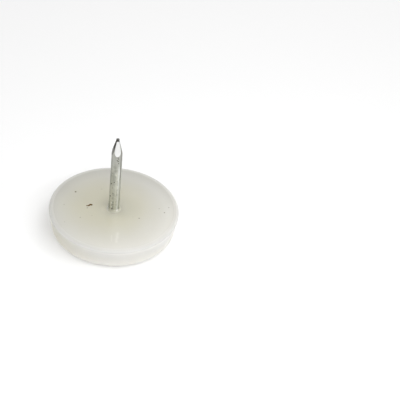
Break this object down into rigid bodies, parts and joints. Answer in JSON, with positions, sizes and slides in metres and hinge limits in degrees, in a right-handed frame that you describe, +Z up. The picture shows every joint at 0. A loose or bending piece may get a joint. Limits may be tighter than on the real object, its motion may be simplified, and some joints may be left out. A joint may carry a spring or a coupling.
{
  "type": "furniture glide",
  "caption": "Nail-on furniture glide: a round translucent white plastic pad with a flat seat face, leaning side and rounded floor edge, moulded on a steel nail with a cut point.",
  "frame": {"origin": "middle of the floor face, the side that slides on the floor", "axes": "+Z up the nail from the floor face to the tip, -Y towards the side that faces the camera in the picture"},
  "size_m": [0.025, 0.025, 0.0224],
  "materials": {
    "pad_plastic": "off-white translucent polyethylene, moulded, satin to glossy, a little yellow in its thick parts",
    "nail_steel": "zinc-coated drawn wire, satin, mottled, with small dark pits"
  },
  "bodies": {
    "root": {"pad": "pad_plastic", "nail": "nail_steel"}
  },
  "joints": []
}
